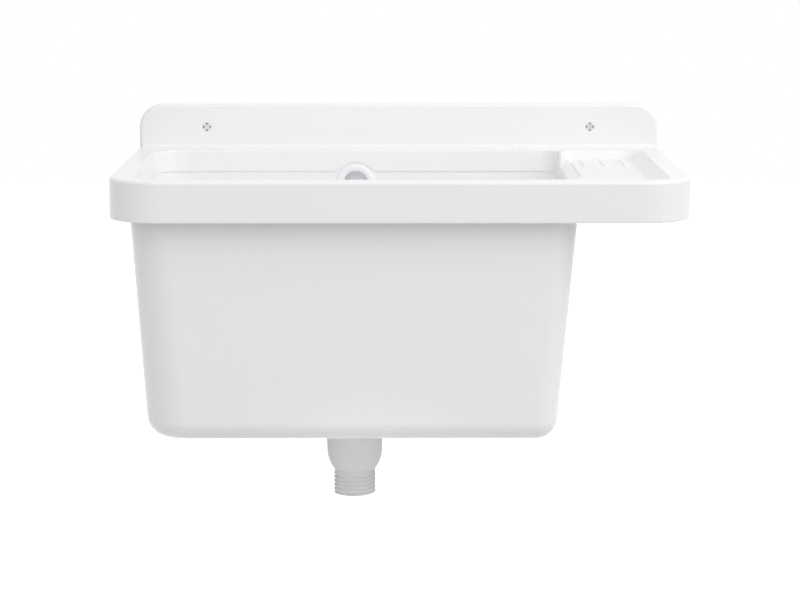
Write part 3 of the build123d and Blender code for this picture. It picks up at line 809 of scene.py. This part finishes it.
class BASIN_OT_wall_screws(bpy.types.Operator):
    """The two wall screws, with a cross recess in each head"""

    bl_idname = "basin.wall_screws"
    bl_label = "Wall screws"

    def execute(self, context):
        fittings = context.scene.basin_fittings
        low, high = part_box("wall_screws")
        head = (high.z - low.z) / 2
        length = high.y - low.y
        shapes = []
        for x in (low.x + head, high.x - head):
            parts = [self.body(fittings, head, length), self.thread(fittings, length)]
            shapes.append(put(joined(parts), Vector((x, low.y, 0)), -TO_WALL))
        add_piece(
            joined(shapes), "wall_screws_finished", "wall_screws", SINK,
            finishes(context)["wall_screw_steel"],
        )
        return {"FINISHED"}

    def body(self, fittings, head, length):
        """Head, plain shank, core and point, with a cross recess in the head."""
        shank = fittings.screw_radius
        core = fittings.screw_core
        chamfer = 0.00012
        shape = turned([
            (0, -length),
            (core * POINT_TIP, -length + core),
            (core, -length + POINT_LENGTH * core),
            (core, -fittings.screw_plain - core),
            (shank * SHANK_SHARE, -fittings.screw_plain),
            (shank * SHANK_SHARE, shank - head),
            (head, -chamfer),
            (head - chamfer, 0),
        ], 48)
        rim = [edge for edge in shape.edges if edge.is_boundary]
        reach = fittings.cross_reach
        width = fittings.cross_width
        corner = [(width, width), (width, reach), (-width, reach)]
        points = []
        for quarter in range(4):
            turn = Matrix.Rotation(FULL_TURN * (0.125 + quarter / 4), 2)
            points += [turn @ Vector(spot) for spot in corner]
        spots = [shape.verts.new((point.x, point.y, 0)) for point in points]
        cross = [shape.edges.new(pair) for pair in zip(spots, spots[1:] + spots[:1])]
        bmesh.ops.bridge_loops(shape, edges=rim + cross)
        walls = bmesh.ops.extrude_edge_only(shape, edges=cross)["geom"]
        foot = [item for item in walls if isinstance(item, bmesh.types.BMVert)]
        bmesh.ops.scale(shape, verts=foot, vec=(RECESS_TAPER, RECESS_TAPER, 1))
        bmesh.ops.translate(shape, verts=foot, vec=(0, 0, -fittings.cross_depth))
        floor = [edge for edge in shape.edges if edge.is_boundary]
        bmesh.ops.edgeloop_fill(shape, edges=floor)
        bmesh.ops.recalc_face_normals(shape, faces=shape.faces)
        return shape

    def thread(self, fittings, length):
        """A right-handed thread that dies out into the core at both ends."""
        core = fittings.screw_core
        pitch = fittings.screw_pitch
        start = -length + POINT_LENGTH * core
        turns = (-fittings.screw_plain - core - start) / pitch
        steps = int(turns * 24)
        shape = bmesh.new()
        half_foot = pitch * TOOTH_HALF_FOOT
        section = [
            shape.verts.new((core * TOOTH_ROOT, 0, start - half_foot)),
            shape.verts.new((fittings.screw_radius, 0, start)),
            shape.verts.new((core * TOOTH_ROOT, 0, start + half_foot)),
        ]
        tooth = shape.faces.new(section)
        bmesh.ops.spin(
            shape,
            geom=[*section, *tooth.edges, tooth],
            cent=(0, 0, 0),
            axis=UP,
            dvec=(0, 0, turns * pitch / steps),
            angle=FULL_TURN * turns,
            steps=steps,
        )
        bmesh.ops.recalc_face_normals(shape, faces=shape.faces)
        return shape


class BASIN_OT_wall_plugs(bpy.types.Operator):
    """The two barbed wall plugs, split at their far end"""

    bl_idname = "basin.wall_plugs"
    bl_label = "Wall plugs"

    def execute(self, context):
        fittings = context.scene.basin_fittings
        low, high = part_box("wall_plugs")
        radius = (high.z - low.z) / 2
        shapes = []
        for x in (low.x + radius, high.x - radius):
            whole, halves = self.sections(fittings, radius, high.y - low.y)
            parts = [turned(whole, 48)]
            parts += [self.half(fittings, halves, radius, side) for side in (0, 1)]
            shapes.append(put(joined(parts), Vector((x, low.y, 0)), TO_WALL))
        add_piece(
            joined(shapes), "wall_plugs_finished", "wall_plugs", SINK,
            finishes(context)["grey_plug"],
        )
        return {"FINISHED"}

    def sections(self, fittings, radius, length):
        """Half outlines of the whole front part and of the split far part."""
        bore = fittings.screw_radius + 0.00005
        split = length - fittings.plug_split
        collar = 0.0015
        step = (length - collar) / fittings.plug_ribs
        low = radius - fittings.plug_barb
        barbs = [(radius, collar)]
        for rib in range(fittings.plug_ribs):
            top = collar + (rib + 1) * step
            barbs += [(low, top - step * 0.98), (radius, top - step * 0.1)]
        barbs.append((low, length))
        front = [point for point in barbs if point[1] < split]
        far = [point for point in barbs if point[1] > split]
        whole = [(bore, 0), (radius, 0), *front, (low, split), (bore, split)]
        halves = [(bore, split - collar), (low, split - collar), *far, (bore, length)]
        return whole, halves

    def half(self, fittings, outline, radius, side):
        """One half of the split end: its outline turned through less than half a turn."""
        shape = bmesh.new()
        gap = math.asin(fittings.plug_slit / 2 / radius)
        turn = Matrix.Rotation(side * math.pi + gap, 3, "Z")
        spots = [shape.verts.new(turn @ Vector((spot, 0, height))) for spot, height in outline]
        face = shape.faces.new(spots)
        bmesh.ops.spin(
            shape,
            geom=[*spots, *face.edges, face],
            cent=(0, 0, 0),
            axis=UP,
            dvec=(0, 0, 0),
            angle=math.pi - 2 * gap,
            steps=24,
        )
        bmesh.ops.recalc_face_normals(shape, faces=shape.faces)
        return shape


class BASIN_OT_overflow_ring(bpy.types.Operator):
    """The ring of the overflow, with its sleeve"""

    bl_idname = "basin.overflow_ring"
    bl_label = "Overflow ring"

    def execute(self, context):
        fittings = context.scene.basin_fittings
        origin, axis = overflow_frame(fittings)[:2]
        low, high, inner, outer = extent("overflow_ring", origin, axis)
        rounding = fittings.ring_round
        sleeve = inner + fittings.sleeve_wall
        shape = turned([
            (inner, low),
            (sleeve, low),
            (sleeve, 0),
            (outer, 0),
            *arc(outer - rounding, high - rounding, rounding, 0, 90),
            *arc(inner + rounding, high - rounding, rounding, 90, 180),
        ])
        add_piece(
            put(shape, origin, axis), "overflow_ring_finished", "overflow_ring", SINK,
            finishes(context)["white_plastic"],
        )
        return {"FINISHED"}


class BASIN_OT_rubber_rings(bpy.types.Operator):
    """The gaskets and the seals"""

    bl_idname = "basin.rubber_rings"
    bl_label = "Gaskets and seals"

    def execute(self, context):
        fittings = context.scene.basin_fittings
        out_of_wall, down = overflow_frame(fittings)[1:]
        for node, axis in (
            ("overflow_gasket", out_of_wall),
            ("upper_hose_seal", down),
            ("lower_hose_seal", TO_WALL),
            ("dish_gasket", UP),
            ("body_gasket", UP),
        ):
            shape = ring_of(node, centre_of(node), axis, fittings.rubber_round)
            add_piece(
                shape, node + "_finished", node, SINK,
                finishes(context)["black_rubber"],
            )
        return {"FINISHED"}


class BASIN_OT_fittings(bpy.types.Operator):
    """The elbow, the hose nuts, the waste, the strainer dish and its screw"""

    bl_idname = "basin.fittings"
    bl_label = "Elbow, nuts, waste and dish"

    def execute(self, context):
        made = finishes(context)
        for node, slot, material, rounding in (
            ("overflow_elbow", "white_plastic", "elbow_plastic", 0.0005),
            ("upper_hose_nut", "grey_plastic", "grey_plastic", 0.0004),
            ("lower_hose_nut", "grey_plastic", "grey_plastic", 0.0004),
            ("waste_body", "grey_plastic", "grey_plastic", 0.0003),
            ("strainer_dish", "dish_steel", "dish_steel", 0.00025),
            ("waste_screw", "screw_steel", "screw_steel", 0.0002),
        ):
            shape = soften(solid_copy(node), rounding)
            add_piece(shape, node + "_finished", node, SINK, made[material])
        return {"FINISHED"}


class BASIN_OT_hose(bpy.types.Operator):
    """The ribbed overflow hose: down the wall, round one bend and forward to the waste"""

    bl_idname = "basin.hose"
    bl_label = "Overflow hose"

    def execute(self, context):
        fittings = context.scene.basin_fittings
        route, bend_start, bend_end, length = self.route(fittings)
        shape = bmesh.new()
        outside = [
            self.ring(shape, route(distance), radius)
            for distance, radius in self.ribs(fittings, length)
        ]
        steps = 20
        bend = [bend_start + (bend_end - bend_start) * step / steps for step in range(steps + 1)]
        inside = [
            self.ring(shape, route(distance), fittings.hose_bore_radius)
            for distance in (0, *bend, length)
        ]
        loops = outside + inside[::-1]
        for one, other in zip(loops, loops[1:] + loops[:1]):
            bmesh.ops.bridge_loops(shape, edges=one + other)
        bmesh.ops.recalc_face_normals(shape, faces=shape.faces)
        add_piece(
            shape, "overflow_hose_finished", "overflow_hose", SINK,
            finishes(context)["hose_plastic"],
        )
        return {"FINISHED"}

    def route(self, fittings):
        """Gives place and direction at a distance along the hose, and where its bend lies."""
        down = overflow_frame(fittings)[2]
        forward = -TO_WALL
        top = centre_of("upper_hose_seal") - down * fittings.hose_reach
        end = centre_of("lower_hose_seal") + forward * fittings.hose_reach
        radius = fittings.hose_bend
        turn = down.angle(forward)
        tangent = radius * math.tan(turn / 2)
        bend_start = (top.z - end.z) / -down.z - tangent
        corner = top + down * (bend_start + tangent)
        bend_end = bend_start + radius * turn
        length = bend_end + (end - corner).dot(forward) - tangent
        inward = (forward - down * forward.dot(down)).normalized()
        centre = top + down * bend_start + inward * radius

        def place(distance):
            if distance <= bend_start:
                return top + down * distance, down
            if distance >= bend_end:
                return corner + forward * (tangent + distance - bend_end), forward
            angle = (distance - bend_start) / radius
            across = down * math.sin(angle) - inward * math.cos(angle)
            return centre + across * radius, down * math.cos(angle) + inward * math.sin(angle)

        return place, bend_start, bend_end, length

    def ribs(self, fittings, length):
        """Distance and radius of each ring of the outside: cuff, rounded ribs, cuff."""
        cuff = fittings.hose_cuff
        pitch = fittings.hose_pitch
        margin = (length - 2 * cuff - fittings.hose_ribs * pitch) / 2
        swell = fittings.hose_crest_radius - fittings.hose_root_radius
        rings = [(0, fittings.hose_cuff_radius), (cuff, fittings.hose_cuff_radius)]
        for rib in range(fittings.hose_ribs):
            foot = cuff + margin + (rib + 0.1) * pitch
            for step in range(9):
                part = step / 8
                rise = math.sin(math.pi * part) ** 0.25 if 0 < step < 8 else 0
                rings.append((foot + 0.8 * pitch * part, fittings.hose_root_radius + swell * rise))
        rings.append((length - cuff, fittings.hose_cuff_radius))
        rings.append((length, fittings.hose_cuff_radius))
        return rings

    def ring(self, shape, station, radius):
        """Edges of a circle square to the hose's route."""
        place, direction = station
        side = Vector((1, 0, 0))
        turn = Matrix((side, direction.cross(side), direction)).transposed().to_4x4()
        spots = bmesh.ops.create_circle(
            shape,
            cap_ends=False,
            segments=40,
            radius=radius,
            matrix=Matrix.Translation(place) @ turn,
        )["verts"]
        return [shape.edges.get(pair) for pair in zip(spots, spots[1:] + spots[:1])]


class BASIN_OT_insert(bpy.types.Operator):
    """The grooved brass insert in the hub"""

    bl_idname = "basin.insert"
    bl_label = "Brass insert"

    def execute(self, context):
        origin = centre_of("waste_insert")
        low, high, inner, outer = extent("waste_insert", origin, UP)
        groove = 0.0005
        outline = [(inner, low), (outer, low)]
        for level in (-1, 1):
            middle = level * high / 3
            outline += [
                (outer, middle - groove),
                (outer - groove, middle - groove),
                (outer - groove, middle + groove),
                (outer, middle + groove),
            ]
        outline += [(outer, high), (inner, high)]
        shape = soften(turned(outline, 64), groove / 4)
        add_piece(
            put(shape, origin, UP), "waste_insert_finished", "waste_insert", SINK,
            finishes(context)["brass"],
        )
        return {"FINISHED"}


class BASIN_OT_plug(bpy.types.Operator):
    """The loose rubber plug that rests in the dish"""

    bl_idname = "basin.plug"
    bl_label = "Drain plug"

    def execute(self, context):
        rounding = context.scene.basin_fittings.plug_round
        shape = soften(solid_copy("drain_plug"), rounding, 3)
        add_piece(
            shape, "drain_plug_finished", "drain_plug", PLUG,
            finishes(context)["plug_rubber"],
        )
        return {"FINISHED"}


class BASIN_OT_studio(bpy.types.Operator):
    """Floor, room light, lamps and camera"""

    bl_idname = "basin.studio"
    bl_label = "Studio"

    def execute(self, context):
        studio = context.scene.basin_studio
        self.floor(studio)
        self.world(studio)
        self.lamps(studio)
        self.camera(context, studio)
        return {"FINISHED"}

    def floor(self, studio):
        """A pale floor that looks white and still takes a shadow; open from below."""
        shape = bmesh.new()
        bmesh.ops.create_grid(shape, x_segments=1, y_segments=1, size=FLOOR_HALF_WIDTH)
        bmesh.ops.translate(shape, verts=shape.verts, vec=(0, 0, studio.floor_level))
        mesh = bpy.data.meshes.new("floor")
        shape.to_mesh(mesh)
        shape.free()
        floor = bpy.data.objects.new("floor", mesh)
        bpy.context.scene.collection.objects.link(floor)
        material = bpy.data.materials.new("studio_floor")
        material.use_nodes = True
        tree = material.node_tree
        tree.nodes.clear()
        path = tree.nodes.new("ShaderNodeLightPath")
        seen = self.seen(tree, path)
        matte = tree.nodes.new("ShaderNodeBsdfDiffuse")
        matte.inputs["Color"].default_value = (0.65, 0.65, 0.655, 1)
        glow = tree.nodes.new("ShaderNodeEmission")
        glow.inputs["Color"].default_value = (1, 1, 1, 1)
        both = tree.nodes.new("ShaderNodeAddShader")
        tree.links.new(maths(tree, "MULTIPLY", seen, FLOOR_GLOW), glow.inputs["Strength"])
        tree.links.new(matte.outputs[0], both.inputs[0])
        tree.links.new(glow.outputs[0], both.inputs[1])
        clear = tree.nodes.new("ShaderNodeBsdfTransparent")
        side = tree.nodes.new("ShaderNodeNewGeometry")
        choice = tree.nodes.new("ShaderNodeMixShader")
        tree.links.new(side.outputs["Backfacing"], choice.inputs[0])
        tree.links.new(both.outputs[0], choice.inputs[1])
        tree.links.new(clear.outputs[0], choice.inputs[2])
        out = tree.nodes.new("ShaderNodeOutputMaterial")
        tree.links.new(choice.outputs[0], out.inputs["Surface"])
        mesh.materials.append(material)

    def seen(self, tree, path):
        """1 for rays that show the background: camera, glossy and transmission rays."""
        total = path.outputs["Is Camera Ray"]
        for name in ("Is Glossy Ray", "Is Transmission Ray"):
            total = maths(tree, "MAXIMUM", total, path.outputs[name])
        return total

    def world(self, studio):
        """White where it is seen, a softer even light where it falls on the basin."""
        world = bpy.data.worlds.new("studio_world")
        bpy.context.scene.world = world
        world.use_nodes = True
        tree = world.node_tree
        tree.nodes.clear()
        path = tree.nodes.new("ShaderNodeLightPath")
        strength = tree.nodes.new("ShaderNodeMapRange")
        strength.inputs["To Min"].default_value = studio.sky
        strength.inputs["To Max"].default_value = 1.0
        tree.links.new(self.seen(tree, path), strength.inputs["Value"])
        background = tree.nodes.new("ShaderNodeBackground")
        background.inputs["Color"].default_value = (1, 1, 1, 1)
        tree.links.new(strength.outputs["Result"], background.inputs["Strength"])
        out = tree.nodes.new("ShaderNodeOutputWorld")
        tree.links.new(background.outputs[0], out.inputs["Surface"])

    def lamps(self, studio):
        """Large soft lamps, aimed at the basin."""
        for name, power, width, height, place in (
            ("key_lamp", studio.key, 2.6, 2.0, (1.5, -2.6, 1.7)),
            ("high_lamp", studio.high, 2.4, 1.6, (0.2, -1.9, 2.2)),
            ("right_lamp", studio.right, 1.8, 1.6, (1.9, -0.5, 1.3)),
            ("front_lamp", studio.front, 3.0, 2.0, (0, -3.6, 0.7)),
            ("left_lamp", studio.left, 1.5, 2.0, (-2.0, -2.4, 0.4)),
            ("low_lamp", studio.under, 2.6, 2.0, (0, -1.1, -0.95)),
        ):
            data = bpy.data.lights.new(name, "AREA")
            data.shape = "RECTANGLE"
            data.size = width
            data.size_y = height
            data.energy = power
            lamp = bpy.data.objects.new(name, data)
            lamp.location = place
            lamp.rotation_euler = self.aim(Vector(place), LAMPS_TARGET)
            bpy.context.scene.collection.objects.link(lamp)
        self.waste_lamp(studio)
        self.elbow_lamp(studio)
        self.bowl_lamp(studio)

    def aim(self, place, target):
        """Turn of a lamp that stands at place and looks at target."""
        return (target - place).to_track_quat("-Z", "Y").to_euler()

    def waste_lamp(self, studio):
        """A narrow lamp from low in front, aimed at the waste below the tub."""
        target = centre_of("waste_body")
        place = target + WASTE_LAMP_PLACE
        data = bpy.data.lights.new("waste_lamp", "SPOT")
        data.energy = studio.waste
        data.spot_size = math.radians(WASTE_LAMP_ANGLE)
        data.spot_blend = 1.0
        data.shadow_soft_size = WASTE_LAMP_SOFTNESS
        lamp = bpy.data.objects.new("waste_lamp", data)
        lamp.location = place
        lamp.rotation_euler = self.aim(place, target)
        bpy.context.scene.collection.objects.link(lamp)

    def elbow_lamp(self, studio):
        """A tiny lamp inside the elbow, hidden from the camera."""
        data = bpy.data.lights.new("elbow_lamp", "POINT")
        data.energy = studio.inside
        data.shadow_soft_size = ELBOW_LAMP_SOFTNESS
        lamp = bpy.data.objects.new("elbow_lamp", data)
        lamp.location = centre_of("overflow_gasket") + TO_WALL * ELBOW_LAMP_DEPTH
        lamp.visible_camera = False
        bpy.context.scene.collection.objects.link(lamp)

    def bowl_lamp(self, studio):
        """A soft lamp in the bowl that lifts its back wall, hidden from camera and gloss."""
        data = bpy.data.lights.new("bowl_lamp", "AREA")
        data.shape = "RECTANGLE"
        data.size = BOWL_LAMP_WIDTH
        data.size_y = BOWL_LAMP_HEIGHT
        data.energy = studio.bowl
        lamp = bpy.data.objects.new("bowl_lamp", data)
        lamp.location = BOWL_LAMP_PLACE
        lamp.rotation_euler = self.aim(BOWL_LAMP_PLACE, BOWL_LAMP_TARGET)
        lamp.visible_camera = False
        lamp.visible_glossy = False
        bpy.context.scene.collection.objects.link(lamp)

    def camera(self, context, studio):
        """The camera, which stands in front and looks slightly down, and the view transform."""
        data = bpy.data.cameras.new("camera")
        data.lens = studio.lens
        camera = bpy.data.objects.new("camera", data)
        camera.location = studio.eye
        camera.rotation_euler = (math.pi / 2 - studio.pitch, 0, -studio.yaw)
        bpy.context.scene.collection.objects.link(camera)
        context.scene.camera = camera
        context.scene.view_settings.view_transform = "Standard"


class BASIN_PT_panel(bpy.types.Panel):
    """Lists the pieces and their settings"""

    bl_idname = "BASIN_PT_panel"
    bl_label = "Utility basin"
    bl_space_type = "VIEW_3D"
    bl_region_type = "UI"
    bl_category = "Basin"

    def draw(self, context):
        for operator in OPERATORS:
            self.layout.operator(operator.bl_idname)
        for group in (
            context.scene.basin_finishes,
            context.scene.basin_fittings,
            context.scene.basin_studio,
        ):
            box = self.layout.box()
            for name in group.__annotations__:
                box.prop(group, name)


OPERATORS = (
    BASIN_OT_studio,
    BASIN_OT_moulding,
    BASIN_OT_wall_screws,
    BASIN_OT_wall_plugs,
    BASIN_OT_overflow_ring,
    BASIN_OT_rubber_rings,
    BASIN_OT_fittings,
    BASIN_OT_hose,
    BASIN_OT_insert,
    BASIN_OT_plug,
)
CLASSES = (BasinFinishes, BasinFittings, BasinStudio, *OPERATORS, BASIN_PT_panel)


def register():
    for one in CLASSES:
        bpy.utils.register_class(one)
    bpy.types.Scene.basin_finishes = PointerProperty(type=BasinFinishes)
    bpy.types.Scene.basin_fittings = PointerProperty(type=BasinFittings)
    bpy.types.Scene.basin_studio = PointerProperty(type=BasinStudio)


def unregister():
    del bpy.types.Scene.basin_studio
    del bpy.types.Scene.basin_fittings
    del bpy.types.Scene.basin_finishes
    for one in reversed(CLASSES):
        bpy.utils.unregister_class(one)


def main():
    """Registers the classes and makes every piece."""
    register()
    bpy.ops.basin.studio()
    bpy.ops.basin.moulding()
    bpy.ops.basin.wall_screws()
    bpy.ops.basin.wall_plugs()
    bpy.ops.basin.overflow_ring()
    bpy.ops.basin.rubber_rings()
    bpy.ops.basin.fittings()
    bpy.ops.basin.hose()
    bpy.ops.basin.insert()
    bpy.ops.basin.plug()


if __name__ == "__main__":
    main()
